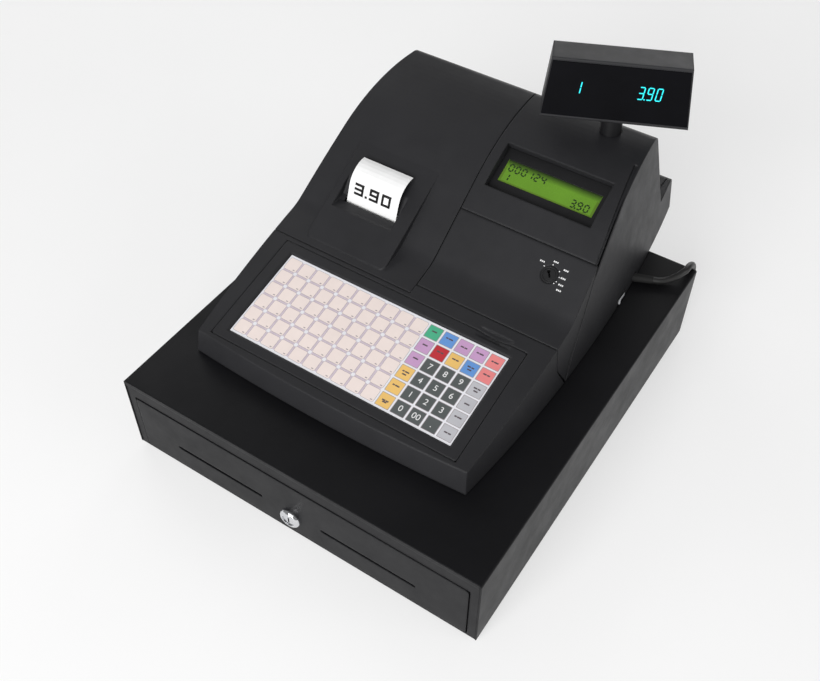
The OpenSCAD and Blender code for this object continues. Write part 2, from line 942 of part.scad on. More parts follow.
// Rear wall with the cover's hinge lugs, and the low block behind it.
module rear_case() {
    color([0.23, 0.23, 0.25])
        place()
            difference() {
                union() {
                    difference() {
                        intersection() {
                            shell();
                            region(reg_x - back_half_w + seam / 2, reg_x + back_half_w - seam / 2,
                                   [[side_y, 0], [side_y, hinge_z - 2.4], [600, hinge_z - 2.4], [600, 0]]);
                        }
                        rod_x(-250, 250, hinge_y, hinge_z, shoulder_r + hinge_clear);
                    }
                    for (end = [0, 1]) {
                        region(lug_x[end] - 2, lug_x[end] + 2, rear_lug);
                        rod_x(lug_x[end] - 2, lug_x[end] + 2, hinge_y, hinge_z, 4);
                        rod_x(lug_x[end] + (end == 0 ? 0 : -9), lug_x[end] + (end == 0 ? 9 : 0),
                              hinge_y, hinge_z, axle_r);
                    }
                }
                for (i = [-5 : 5])
                    box([reg_x + i * 14 - 2, 490, foot_h + 108], [reg_x + i * 14 + 2, 520, foot_h + 122]);
            }
}

// ---------------------------------------------------------------- printer and paper

// Height of the housing's sloping top at distance y from the front.
function housing_top(y) =
    housing_z0 + (housing_z1 - housing_z0) * (y - housing_y0) / (housing_y1 - housing_y0);

// Free end of the receipt, curling back.
receipt_path = concat([[slot_y - 0.6, housing_top(slot_y) - 13]],
                      arc(slot_y + 29, foot_h + 172, 24.7, 162, 84, 8));

// Hinged cover over the printer and paper bin, with the raised paper exit; it wraps a little way
// down the left side and ends in an ear around the hinge.
module printer_cover() {
    skin = 2.5;
    color([0.24, 0.24, 0.26])
        place()
            difference() {
                union() {
                    difference() {
                        cover_shell();
                        box([housing_x0 + skin, housing_y0 + 10, 0],
                            [housing_x1 - skin, throat_y1 + 10, 400]);
                    }
                    difference() {
                        housing(0);
                        translate([0, 0, -skin])
                            housing(skin);
                        body(wall_t);
                    }
                    intersection() {
                        housing(0);
                        paper_throat(2);
                    }
                    for (end = [0, 1])
                        cover_lug(lug_x[end] + (end == 0 ? 5 : -5));
                }
                paper_throat(0);
                box([paper_x - paper_w / 2 - 2, slot_y - 3, 0],
                    [paper_x + paper_w / 2 + 2, slot_y + 4.6, 400]);
            }
}

// The cover's part of the case wall.
module cover_shell() {
    intersection() {
        shell();
        region(-250, split_x - seam / 2,
               [[cover_y + seam / 2, 0], [cover_y + seam / 2, 400], [600, 400],
                [600, hinge_z - 1.6], [side_y - 0.4, hinge_z - 1.6], [side_y - 0.4, 0]]);
        union() {
            above_body(skirt_drop);
            rod_x(-250, reg_x - 100, hinge_y, hinge_z, shoulder_r);
        }
        region(-250, 250, [[0, 0], [0, 400], [600, 400], [600, hinge_z - 1.6], [hinge_y + 9, hinge_z - 1.6],
                           [hinge_y + 9, 0]]);
    }
}

// Bored lug under the cover's crown.
module cover_lug(x) {
    difference() {
        union() {
            box([x - 2, hinge_y - 4, hinge_z], [x + 2, hinge_y + 4, crown_top - 1]);
            rod_x(x - 2, x + 2, hinge_y, hinge_z, 4);
        }
        rod_x(x - 3, x + 3, hinge_y, hinge_z, axle_r + run_gap);
    }
}

// Wedge of the paper exit, pulled in by inset on its sides.
module housing(inset) {
    w = housing_x1 - housing_x0;
    d = housing_y1 - housing_y0;
    intersection() {
        region(housing_x0 + inset, housing_x1 - inset,
               [[housing_y0, deck_z], [housing_y0, housing_z0],
                [housing_y1, housing_z1], [housing_y1, deck_z]]);
        translate([housing_x0 + w / 2, housing_y0 + d / 2, 0])
            linear_extrude(400)
                rounded_rect(w - 2 * inset, d - 2 * inset, 6 - inset);
    }
}

// Sunk well in the housing where the paper comes out.
module paper_throat(grow) {
    region(throat_x - throat_half - grow, throat_x + throat_half + grow,
           [[throat_y0 - grow, 300], [throat_y0 - grow, housing_top(throat_y0)],
            [slot_y - 3 - grow, housing_top(slot_y) - 9 - grow],
            [slot_y + 4 + grow, housing_top(slot_y) - 7 - grow],
            [throat_y1 + grow, housing_top(throat_y1)], [throat_y1 + grow, 300]]);
}

// Serrated steel strip that the receipt is torn against.
module tear_bar() {
    teeth = 28;
    pitch = (paper_w + 2) / teeth;
    color([0.75, 0.75, 0.76])
        place()
            translate([paper_x - (paper_w + 2) / 2, slot_y + 4.6, 0])
                rotate([90, 0, 0])
                    linear_extrude(0.6)
                        polygon(concat([[0, housing_top(slot_y) - 11]],
                                       [for (i = [0 : 2 * teeth])
                                           [i * pitch / 2, housing_top(slot_y) - (i % 2 == 0 ? 6 : 4.8)]],
                                       [[teeth * pitch, housing_top(slot_y) - 11]]));
}

module receipt_paper() {
    color([0.95, 0.95, 0.96])
        place()
            paper_strip(receipt_path);
}

// A strip of receipt paper whose upper face follows a path drawn in (y, z).
module paper_strip(path) {
    n = len(path);
    translate([paper_x, 0, 0])
        along_x(paper_w)
            polygon(concat(path, [for (i = [n - 1 : -1 : 0])
                let (along = path[min(i + 1, n - 1)] - path[max(i - 1, 0)])
                path[i] + paper_t * [along.y, -along.x] / norm(along)]));
}

// Paper on its way from the roll round the platen.
module paper_web() {
    color([0.95, 0.95, 0.93])
        place()
            paper_strip(concat([[roll_y - 7, roll_z - roll_r - 0.25]],
                               arc(platen_y, platen_z, platen_r + 0.5, 278, 180, 6),
                               [[platen_y - platen_r + 1.5, platen_z + 12]]));
}

// Printer chassis with bearing plates for the platen.
module printer_frame() {
    color([0.2, 0.2, 0.21])
        place()
            difference() {
                union() {
                    for (side = [-1, 1])
                        box([paper_x + side * 36 - 1.5, 222, floor_z],
                            [paper_x + side * 36 + 1.5, 268, platen_z + 5]);
                    box([paper_x - 36, 222, platen_z - 22], [paper_x + 36, 226, platen_z - 4]);
                    box([paper_x - 36, 256, platen_z - 26], [paper_x + 36, 266, platen_z - 22]);
                }
                rod_x(paper_x - 50, paper_x + 50, platen_y, platen_z, 2.5 + run_gap);
            }
}

module print_head() {
    color([0.55, 0.5, 0.42])
        place()
            box([paper_x - 31, 226, platen_z - 14], [paper_x + 31, platen_y - platen_r - 1.2, platen_z + 3]);
}

// Rubber platen on its shaft with the drive gear at its right end.
module platen_roller() {
    color([0.12, 0.12, 0.12])
        place()
            union() {
                rod_x(paper_x - 30, paper_x + 30, platen_y, platen_z, platen_r);
                rod_x(paper_x - 41, paper_x + 43.5, platen_y, platen_z, 2.5);
                spur_gear(paper_x + 40, platen_y, platen_z, platen_teeth, 7.2);
            }
}

// A flat gear with its axis along X.
module spur_gear(x, y, z, teeth, tip_r) {
    translate([x, y, z])
        rotate([0, 90, 0])
            linear_extrude(3.5)
                polygon([for (i = [0 : 4 * teeth - 1])
                    (i % 4 < 2 ? tip_r : tip_r - 1.2) * [cos(i * 90 / teeth), sin(i * 90 / teeth)]]);
}

module paper_motor() {
    color([0.5, 0.5, 0.52])
        place()
            difference() {
                union() {
                    rod_x(paper_x + 44.5, paper_x + 62, pinion_y, pinion_z, 12);
                    box([paper_x + 37.5, pinion_y - 8, pinion_z - 24],
                        [paper_x + 50, pinion_y + 8, pinion_z - 10]);
                }
                rod_x(paper_x + 43, paper_x + 56, pinion_y, pinion_z, 1.5 + run_gap);
            }
}

// Motor shaft with the small gear that drives the platen.
module motor_pinion() {
    color([0.7, 0.6, 0.35])
        place()
            union() {
                rod_x(paper_x + 40, paper_x + 54, pinion_y, pinion_z, 1.5);
                spur_gear(paper_x + 40, pinion_y, pinion_z, pinion_teeth, 3.4);
            }
}

// Bin that the paper roll drops into, open at the top and low at the front, where the paper leaves.
module paper_bin() {
    inner = paper_w / 2 + 1.75;
    outer = inner + 2.5;
    bed_z = roll_z - roll_r - 0.7;
    color([0.2, 0.2, 0.21])
        place()
            difference() {
                box([paper_x - outer, roll_y - 38, floor_z], [paper_x + outer, roll_y + 38, roll_z + 8]);
                rod_x(paper_x - inner, paper_x + inner, roll_y, roll_z + 4.2, roll_r + 4.5);
                box([paper_x - inner, roll_y - 34.5, roll_z + 4.2],
                    [paper_x + inner, roll_y + 34.5, roll_z + 30]);
                box([paper_x - inner, roll_y - 40, bed_z], [paper_x + inner, roll_y - 5, roll_z + 30]);
                box([paper_x - outer - 1, roll_y - 40, bed_z + 3],
                    [paper_x + outer + 1, roll_y - 20, roll_z + 30]);
                box([paper_x - inner, roll_y - 35.5, floor_z - 1],
                    [paper_x + inner, roll_y + 35.5, bed_z - 2.5]);
            }
}

module paper_roll() {
    color([0.94, 0.94, 0.92])
        place()
            difference() {
                rod_x(paper_x - paper_w / 2, paper_x + paper_w / 2, roll_y, roll_z, roll_r);
                rod_x(paper_x - paper_w, paper_x + paper_w, roll_y, roll_z, core_r);
            }
}

// ---------------------------------------------------------------- operator and customer displays

module lcd_frame() {
    color([0.05, 0.05, 0.055])
        place()
            on_lcd()
                difference() {
                    box([-lcd_w / 2 + 0.3, -lcd_d / 2 + 0.3, -lcd_sink - 1.5],
                        [lcd_w / 2 - 0.3, lcd_d / 2 - 0.3, -lcd_sink]);
                    box([-glass_w / 2, -glass_d / 2, -30], [glass_w / 2, glass_d / 2, 30]);
                }
}

module lcd_glass() {
    color([0.6, 0.8, 0.15])
        place()
            on_lcd()
                union() {
                    box([-glass_w / 2 + 0.1, -glass_d / 2 + 0.1, -lcd_sink - 1.6],
                        [glass_w / 2 - 0.1, glass_d / 2 - 0.1, -lcd_sink - 0.6]);
                    box([-lcd_w / 2 - 1.5, -lcd_d / 2 - 1.5, -lcd_sink - 5],
                        [lcd_w / 2 + 1.5, lcd_d / 2 + 1.5, -lcd_sink - 1.5]);
                }
}

// Round pole with a stop collar at its foot and a thin spigot that the head turns on.
module display_pole() {
    color([0.14, 0.14, 0.15])
        place()
            translate([pole_x, pole_y, 0])
                union() {
                    translate([0, 0, crown_top - collar_h - 3.3])
                        cylinder(h = 3, r = pole_r + 2);
                    translate([0, 0, crown_top - collar_h - 3.3])
                        cylinder(h = head_z - 0.4 - crown_top + collar_h + 3.3, r = pole_r);
                    translate([0, 0, head_z - 10])
                        cylinder(h = 16, r = 4);
                }
}

// Outline of the head seen from its end: y from the turning axis, z from its underside.
function head_profile(inset) = [
    [head_front + inset, inset],
    [head_front + inset + (head_h - 2 * inset) * tan(display_lean), head_h - inset],
    [head_front + head_d - inset + (head_h - 2 * inset) * tan(display_lean), head_h - head_slope - inset],
    [head_front + head_d - inset + 6, inset]
];

module display_head() {
    color([0.2, 0.2, 0.21])
        place()
            on_pole()
                translate([0, 0, head_z])
                    difference() {
                        intersection() {
                            along_x(head_w)
                                polygon(head_profile(0));
                            rotate([90, 0, 0])
                                linear_extrude(200, center = true)
                                    polygon([[-head_w / 2, 0], [head_w / 2, 0],
                                             [head_top_w / 2, head_h], [-head_top_w / 2, head_h]]);
                        }
                        along_x(head_w - 18)
                            polygon(head_profile(2.4));
                        cylinder(h = 30, r = 4 + run_gap, center = true);
                        window_plate(-0.2, 2.2, 3);
                        window_plate(6, 4, 1);
                    }
}

// Slab on the head's leaning face, its outline pulled in by inset, from depth behind it to front before it.
module window_plate(inset, depth, front) {
    foot = 2.6 + inset;
    top = head_h - 2 - inset;
    foot_half = head_w / 2 - 1.5 - inset;
    top_half = head_top_w / 2 - 1.3 - inset;
    translate([0, head_front, 0])
        rotate([90 - display_lean, 0, 0])
            translate([0, 0, -depth])
                linear_extrude(depth + front)
                    polygon([[-foot_half, foot], [foot_half, foot], [top_half, top], [-top_half, top]]);
}

module display_window() {
    color([0.02, 0.02, 0.025, 0.9])
        place()
            on_pole()
                translate([0, 0, head_z])
                    window_plate(0, 2, 0);
}

// Glowing digit tube on its little board behind the window.
module display_digit_tube() {
    color([0.1, 0.35, 0.35])
        place()
            on_pole()
                translate([0, head_front, head_z])
                    rotate([-display_lean, 0, 0])
                        union() {
                            box([-50, 4.5, 15], [50, 9, 39]);
                            box([-54, 9, 10], [54, 10.6, 44]);
                        }
}

// ---------------------------------------------------------------- inside and power

module main_board() {
    color([0.1, 0.35, 0.15])
        place()
            union() {
                for (x = [-20, 110], y = [232, 388])
                    translate([x, y, floor_z])
                        cylinder(h = 6.2, r = 3);
                box([-30, 226, floor_z + 6], [122, 392, floor_z + 7.6]);
                for (i = [0 : 3])
                    box([-18 + i * 32, 260, floor_z + 7.5], [2 + i * 32, 286, floor_z + 10]);
                box([-20, 330, floor_z + 7.5], [10, 350, floor_z + 20]);
                translate([60, 340, floor_z + 7.5])
                    cylinder(h = 20, r = 8);
            }
}

// Mains transformer in the low rear block.
module power_supply() {
    color([0.45, 0.42, 0.4])
        place()
            union() {
                box([40, 462, floor_z], [112, 498, floor_z + 3]);
                box([48, 464, floor_z + 2.9], [104, 496, floor_z + 32]);
                box([56, 460, floor_z + 8], [96, 500, floor_z + 28]);
            }
}

module power_switch_bezel() {
    color([0.05, 0.05, 0.055])
        place()
            difference() {
                box([switch_x - 10, switch_y - 10.3, base_z + 0.2],
                    [switch_x + 0.6, switch_y + 10.3, base_z + 9]);
                box([switch_x - 6, switch_y - 7.6, base_z + 2], [switch_x + 2, switch_y + 7.6, base_z + 7]);
                translate([switch_x - 2.4, switch_y, base_z + 1.2])
                    cylinder(h = 6.6, r = rocker_pin_r + run_gap);
            }
}

// Rocker on an upright pin, its two halves sloping away from the middle.
module power_switch_rocker() {
    color([0.75, 0.76, 0.78])
        place()
            translate([switch_x - 2.4, switch_y, base_z + 4.5])
                rotate([0, 0, rocker_tilt])
                    union() {
                        linear_extrude(4.4, center = true)
                            polygon([[-2, -2], [-2, 2], [2.4, 7], [3.8, 7], [3, 0], [3.8, -7], [2.4, -7]]);
                        cylinder(h = 6.2, r = rocker_pin_r, center = true);
                    }
}

// Tapered grommet where the mains lead leaves the right side, with a flange inside the wall.
module mains_strain_relief() {
    color([0.05, 0.05, 0.05])
        place()
            at_gland()
                union() {
                    box([-8, -5.6, -4.2], [-5.6, 5.6, 5.4]);
                    rod_x(-5.7, 2.9, 0, 0, 4.3);
                    rotate([0, 90, 0])
                        translate([0, 0, 2.8])
                            cylinder(h = gland_len - 2.8, r1 = 4.3, r2 = 3.8);
                }
}

// ---------------------------------------------------------------- mains lead

gland_x = side_x(gland_y, gland_z) + 0.2;

// The lead's middle line from the end of the strain relief, over the drawer's edge, to the coil.
lead_route = concat(
    [[gland_x + gland_len * cos(gland_turn), gland_y + gland_len * sin(gland_turn), gland_z],
     [167, 390, gland_z - 0.3], [172, 393.5, gland_z - 0.2], [177, 398.5, gland_z + 1],
     [182, 404.5, gland_z + 3.6]],
    [for (a = [90 : -15 : 0]) [bend_x, bend_y + bend_r * cos(a), bend_z + bend_r * sin(a)]],
    [[185, 441, 62], [181, 441.5, 48], [174, 442.5, 35], [164, 444, 23.5], [152, 445, 14.5],
     [141, 445.2, 8.5], [130, 445, 4.8]],
    [for (a = [-90 : -16 : -170])
        [coil_x + 43.5 + floor_bend_r * (1 + cos(a)), 475 + floor_bend_r * sin(a), lead_floor]]);

// The short stretch from the coil to the plug.
plug_route = [[coil_x - 11, plug_y, 11.3], [coil_x - 18, plug_y, 10.8], [coil_x - 26, plug_y, 8.7],
              [coil_x - 34, plug_y, 7.2], [plug_x, plug_y, plug_z]];

function unit(v) = v / norm(v);

// Direction of a route at point i.
function heading(route, i) =
    i == 0 ? unit(route[1] - route[0])
    : i == len(route) - 1 ? unit(route[i] - route[i - 1])
    : unit(route[i + 1] - route[i - 1]);

// Corners of the ring around point i of a route.
function ring(route, i) =
    let (d = heading(route, i),
         side = unit(cross(abs(d.z) > 0.9 ? [1, 0, 0] : [0, 0, 1], d)),
         up = cross(d, side))
    [for (k = [0 : lead_sides - 1])
        route[i] + lead_r * (cos(k * 360 / lead_sides) * side + sin(k * 360 / lead_sides) * up)];

// A tube along a route.
module tube(route) {
    n = len(route);
    polyhedron(
        points = [for (i = [0 : n - 1]) each ring(route, i)],
        faces = concat(
            [[for (k = [0 : lead_sides - 1]) k]],
            [for (i = [0 : n - 2], k = [0 : lead_sides - 1])
                [i * lead_sides + k, (i + 1) * lead_sides + k,
                 (i + 1) * lead_sides + (k + 1) % lead_sides, i * lead_sides + (k + 1) % lead_sides]],
            [[for (k = [lead_sides - 1 : -1 : 0]) (n - 1) * lead_sides + k]]));
}

module mains_lead() {
    color([0.06, 0.06, 0.06])
        place() {
            tube(lead_route);
            tube(plug_route);
        }
}

module mains_lead_coil() {
    mid_r = (coil_out_r + coil_in_r) / 2;
    color([0.06, 0.06, 0.06])
        place()
            translate([coil_x, coil_y, 0])
                rotate_extrude($fn = 64)
                    translate([mid_r, coil_z + coil_h / 2])
                        rounded_rect(coil_out_r - coil_in_r, coil_h, 5);
}

module mains_coil_tie() {
    color([0.15, 0.15, 0.16])
        place()
            translate([coil_x - (coil_out_r + coil_in_r) / 2, coil_y, coil_z + coil_h / 2])
                rotate([90, 0, 0])
                    linear_extrude(5, center = true)
                        difference() {
                            rounded_rect(coil_out_r - coil_in_r + 1.4, coil_h + 1.4, 5.7);
                            rounded_rect(coil_out_r - coil_in_r + 0.2, coil_h + 0.2, 5.1);
                        }
}

// Flat two-pin mains plug lying beside the coil, its boot pointing at the coil.
module mains_plug() {
    color([0.07, 0.07, 0.07])
        place()
            translate([plug_x, plug_y, plug_z])
                union() {
                    translate([-24, 0, 0])
                        rotate([0, 90, 0])
                            cylinder(h = 24, r1 = 6, r2 = 3.8);
                    translate([0, 0, -6.9])
                        linear_extrude(13.7)
                            polygon([[-22, -6.5], [-30, -17], [-46, -17], [-46, 17], [-30, 17], [-22, 6.5]]);
                    for (side = [-1, 1])
                        rod_x(-64, -45.9, side * 9.3, 0, 2);
                }
}

drawer_cover();
drawer_chassis();
drawer_rails();
drawer_front_rollers();
drawer_box();
drawer_front_panel();
drawer_rear_rollers();
drawer_lock_bezel();
drawer_lock_barrel();
drawer_latch_solenoid();
drawer_latch_lever();
drawer_feet();
drawer_screws();
till_tray();
bill_clip_rod();
bill_clip_1();
bill_clip_2();
bill_clip_3();
bill_clip_4();
base_case();
register_feet();
keyboard_deck();
keyboard_frame();
key_sheet();
key_switch_layer();
key_backplate();
mode_lock_panel();
mode_lock_body();
mode_lock_rotor();
right_case();
lcd_frame();
lcd_glass();
left_side_panel();
rear_case();
printer_cover();
tear_bar();
receipt_paper();
paper_web();
printer_frame();
print_head();
platen_roller();
paper_motor();
motor_pinion();
paper_bin();
paper_roll();
display_pole();
display_head();
display_window();
display_digit_tube();
main_board();
power_supply();
power_switch_bezel();
power_switch_rocker();
mains_strain_relief();
mains_lead();
mains_lead_coil();
mains_coil_tie();
mains_plug();
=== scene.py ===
"""Looks of the electronic cash register: camera, mains lead, materials, printed details, stage and lights.

Metres. +X is the operator's right, +Y goes to the back, +Z is up.
"""
import itertools
import json
import math
import random

import bpy
from mathutils import Matrix, Vector


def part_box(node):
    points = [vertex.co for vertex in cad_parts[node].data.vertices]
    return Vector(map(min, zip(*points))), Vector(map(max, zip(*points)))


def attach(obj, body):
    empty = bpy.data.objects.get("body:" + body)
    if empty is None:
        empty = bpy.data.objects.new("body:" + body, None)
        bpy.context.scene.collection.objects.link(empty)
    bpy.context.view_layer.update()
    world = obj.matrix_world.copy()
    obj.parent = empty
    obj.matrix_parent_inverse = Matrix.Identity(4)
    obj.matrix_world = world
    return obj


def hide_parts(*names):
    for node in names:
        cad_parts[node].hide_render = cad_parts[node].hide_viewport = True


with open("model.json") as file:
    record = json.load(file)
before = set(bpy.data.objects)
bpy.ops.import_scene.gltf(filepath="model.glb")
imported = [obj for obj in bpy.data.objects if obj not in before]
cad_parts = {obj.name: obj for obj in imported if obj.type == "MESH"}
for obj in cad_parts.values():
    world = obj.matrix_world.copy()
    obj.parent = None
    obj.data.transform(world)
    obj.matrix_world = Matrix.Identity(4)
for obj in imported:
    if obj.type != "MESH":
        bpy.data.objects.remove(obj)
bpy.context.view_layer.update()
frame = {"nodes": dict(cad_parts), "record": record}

MM = 0.001
RECORD = frame["record"]
NODES = frame["nodes"]
JOINTS = {joint["name"]: joint for joint in RECORD["behaviour"]["joints"]}
ROOT = "register_and_cabinet"
random.seed(7)

# Slopes of the planes that carry printed details, in degrees
DECK_TILT = 11.5
LCD_TILT = 25.8
LOCK_TILT = 34.1
DISPLAY_YAW = 24.0
DISPLAY_LEAN = 12.0


# ---------------------------------------------------------------- camera

EYE = Vector((0.3650, -0.6181, 0.8351))
AIM = Vector((-0.0012, -0.0584, 0.0917))
LENS_MM = 45.5
CAMERA_ROLL = 0.23


def make_camera():
    """Looks down on the register from the front right, with a slight roll."""
    data = bpy.data.cameras.new("camera")
    data.lens = LENS_MM
    data.sensor_width = 36.0
    data.clip_start = 0.01
    camera = bpy.data.objects.new("camera", data)
    bpy.context.scene.collection.objects.link(camera)
    facing = (AIM - EYE).to_track_quat("-Z", "Y").to_matrix().to_4x4()
    roll = Matrix.Rotation(math.radians(CAMERA_ROLL), 4, "Z")
    camera.matrix_world = Matrix.Translation(EYE) @ facing @ roll
    bpy.context.scene.camera = camera


make_camera()


# ---------------------------------------------------------------- materials

def noise(nodes, links, coordinates, scale, detail=4.0, roughness=0.5):
    """A cloudy value over the object at the given scale."""
    texture = nodes.new("ShaderNodeTexNoise")
    texture.inputs["Scale"].default_value = scale
    texture.inputs["Detail"].default_value = detail
    texture.inputs["Roughness"].default_value = roughness
    links.new(coordinates, texture.inputs["Vector"])
    return texture.outputs["Fac"]


def spread(nodes, links, value, low, high):
    """Maps a noise, which mostly lies between 0.3 and 0.7, onto low to high."""
    mapping = nodes.new("ShaderNodeMapRange")
    mapping.inputs["From Min"].default_value = 0.3
    mapping.inputs["From Max"].default_value = 0.7
    mapping.inputs["To Min"].default_value = low
    mapping.inputs["To Max"].default_value = high
    links.new(value, mapping.inputs["Value"])
    return mapping.outputs["Result"]


def shade(colour, factor):
    """A colour made lighter or darker, with full opacity."""
    return tuple(min(1.0, channel * factor) for channel in colour) + (1.0,)


def make_material(name, colour, roughness, metallic=0.0, mottle=0.12, mottle_scale=22.0,
                  rough_spread=0.06, grain_scale=1400.0, grain_depth=0.04, edge=0.0,
                  stretch=(1.0, 1.0, 1.0), specular=0.5, glow=0.0):
    """A Principled surface whose colour, roughness and relief all vary over the object.

    grain_depth and edge are in millimetres: the height of the fine relief and the radius to which edges are
    rounded in the shading.
    """
    material = bpy.data.materials.new(name)
    material.use_nodes = True
    nodes, links = material.node_tree.nodes, material.node_tree.links
    shader = nodes["Principled BSDF"]
    place = nodes.new("ShaderNodeTexCoord").outputs["Object"]
    stretched = nodes.new("ShaderNodeMapping")
    stretched.inputs["Scale"].default_value = stretch
    links.new(place, stretched.inputs["Vector"])
    place = stretched.outputs["Vector"]

    tint = nodes.new("ShaderNodeMix")
    tint.data_type = "RGBA"
    tint.inputs[6].default_value = shade(colour, 1 - mottle)
    tint.inputs[7].default_value = shade(colour, 1 + mottle)
    cloud = noise(nodes, links, place, mottle_scale, 6.0, 0.6)
    links.new(spread(nodes, links, cloud, 0.0, 1.0), tint.inputs[0])
    links.new(tint.outputs[2], shader.inputs["Base Color"])

    sheen = noise(nodes, links, place, mottle_scale * 3.1, 5.0, 0.7)
    rough = spread(nodes, links, sheen, max(0.02, roughness - rough_spread), roughness + rough_spread)
    links.new(rough, shader.inputs["Roughness"])

    bump = nodes.new("ShaderNodeBump")
    bump.inputs["Strength"].default_value = 0.6
    bump.inputs["Distance"].default_value = grain_depth * MM
    links.new(noise(nodes, links, place, grain_scale, 3.0, 0.6), bump.inputs["Height"])
    if edge:
        rounding = nodes.new("ShaderNodeBevel")
        rounding.samples = 4
        rounding.inputs["Radius"].default_value = edge * MM
        links.new(rounding.outputs["Normal"], bump.inputs["Normal"])
    links.new(bump.outputs["Normal"], shader.inputs["Normal"])

    shader.inputs["Metallic"].default_value = metallic
    shader.inputs["Specular IOR Level"].default_value = specular
    if glow:
        links.new(tint.outputs[2], shader.inputs["Emission Color"])
        shader.inputs["Emission Strength"].default_value = glow
    return material


SLOTS = {
    "drawer_steel": make_material("satin_black_steel", (0.0055, 0.0055, 0.0065), 0.44, mottle=0.25,
                                  mottle_scale=9.0, grain_scale=900.0, grain_depth=0.03, edge=2.0,
                                  specular=0.16),
    "case_plastic": make_material("case_plastic", (0.017, 0.017, 0.019), 0.50, mottle=0.12,
                                  mottle_scale=14.0, grain_scale=1500.0, grain_depth=0.05, edge=2.4,
                                  specular=0.30),
    "black_plastic": make_material("black_plastic", (0.010, 0.010, 0.011), 0.42, mottle=0.15,
                                   grain_scale=1600.0, grain_depth=0.04, edge=0.8, specular=0.3),
    "inner_steel": make_material("zinc_steel", (0.55, 0.56, 0.57), 0.38, metallic=1.0, mottle=0.10,
                                 mottle_scale=12.0, grain_scale=300.0, stretch=(1.0, 9.0, 9.0), edge=0.4),
    "chrome": make_material("chrome", (0.72, 0.73, 0.75), 0.12, metallic=1.0, mottle=0.06,
                            rough_spread=0.05, grain_scale=700.0, grain_depth=0.01, edge=0.4),
    "brass": make_material("brass", (0.60, 0.45, 0.20), 0.30, metallic=1.0, mottle=0.12, edge=0.2),
    "light_plastic": make_material("light_plastic", (0.55, 0.56, 0.58), 0.40, mottle=0.06, edge=0.4),
    "rubber": make_material("rubber", (0.012, 0.012, 0.012), 0.75, mottle=0.20, grain_scale=500.0,
                            grain_depth=0.08, edge=0.4, specular=0.3),
    "white_film": make_material("white_film", (0.78, 0.78, 0.82), 0.40, mottle=0.03, grain_scale=250.0,
                                grain_depth=0.02, specular=0.3),
    "board": make_material("board", (0.02, 0.14, 0.05), 0.35, mottle=0.30, mottle_scale=180.0,
                           grain_scale=260.0, grain_depth=0.06),
    "display_glass": make_material("display_glass", (0.002, 0.002, 0.003), 0.08, mottle=0.30, edge=0.6,
                                   rough_spread=0.03, grain_scale=60.0, grain_depth=0.006, specular=0.06),
    # The lcd slot's small glow is painted light that lifts the unlit green glass
    "lcd": make_material("lcd", (0.10, 0.19, 0.02), 0.22, mottle=0.10, mottle_scale=30.0,
                         grain_scale=1700.0, grain_depth=0.01, specular=0.25, glow=0.03),
    "paper": make_material("paper", (0.84, 0.84, 0.84), 0.70, mottle=0.03, mottle_scale=60.0,
                           grain_scale=900.0, grain_depth=0.03, specular=0.2),
    "transformer": make_material("transformer", (0.12, 0.09, 0.07), 0.55, mottle=0.25, edge=0.5,
                                 grain_scale=700.0, stretch=(6.0, 1.0, 1.0)),
}


def paint_nodes():
    """Gives every CAD node the material of its slot in the record."""
    for row in RECORD["subparts"]:
        mesh = NODES[row["node"]].data
        mesh.materials.clear()
        mesh.materials.append(SLOTS[row["material_slot"]])


paint_nodes()


# ---------------------------------------------------------------- mains lead

LEAD_D = 7.0
GLAND_TURN = 22.0
COIL_X = 45.0
COIL_Y = 238.0
COIL_OUTER = 43.5
COIL_INNER = 36.0
COIL_LAYERS = (4.4, 11.9, 19.4)
COIL_STEP = 10


def smooth(t):
    """Goes from 0 to 1 with a level start and end."""
    return t * t * (3 - 2 * t)


def winding():
    """The coil's turns as (degrees wound, radius, height): changes between these are smooth ramps."""
    low, middle, top = COIL_LAYERS
    return [(0, COIL_OUTER, low), (300, COIL_OUTER, low), (350, COIL_INNER, low), (600, COIL_INNER, low),
            (650, COIL_INNER, middle), (900, COIL_INNER, middle), (950, COIL_INNER, top),
            (1200, COIL_INNER, top), (1250, COIL_OUTER, top), (1540, COIL_OUTER, top),
            (1590, COIL_OUTER, middle), (1890, COIL_OUTER, middle)]


def coil_points():
    """Middle line of the coil in millimetres, a point every few degrees."""
    stops = winding()
    points = []
    for (start, r0, z0), (end, r1, z1) in zip(stops, stops[1:]):
        for angle in range(start, end, COIL_STEP):
            share = smooth((angle - start) / (end - start))
            radius = r0 + (r1 - r0) * share
            turn = math.radians(angle)
            points.append((COIL_X + radius * math.cos(turn), COIL_Y + radius * math.sin(turn),
                           z0 + (z1 - z0) * share))
    return points


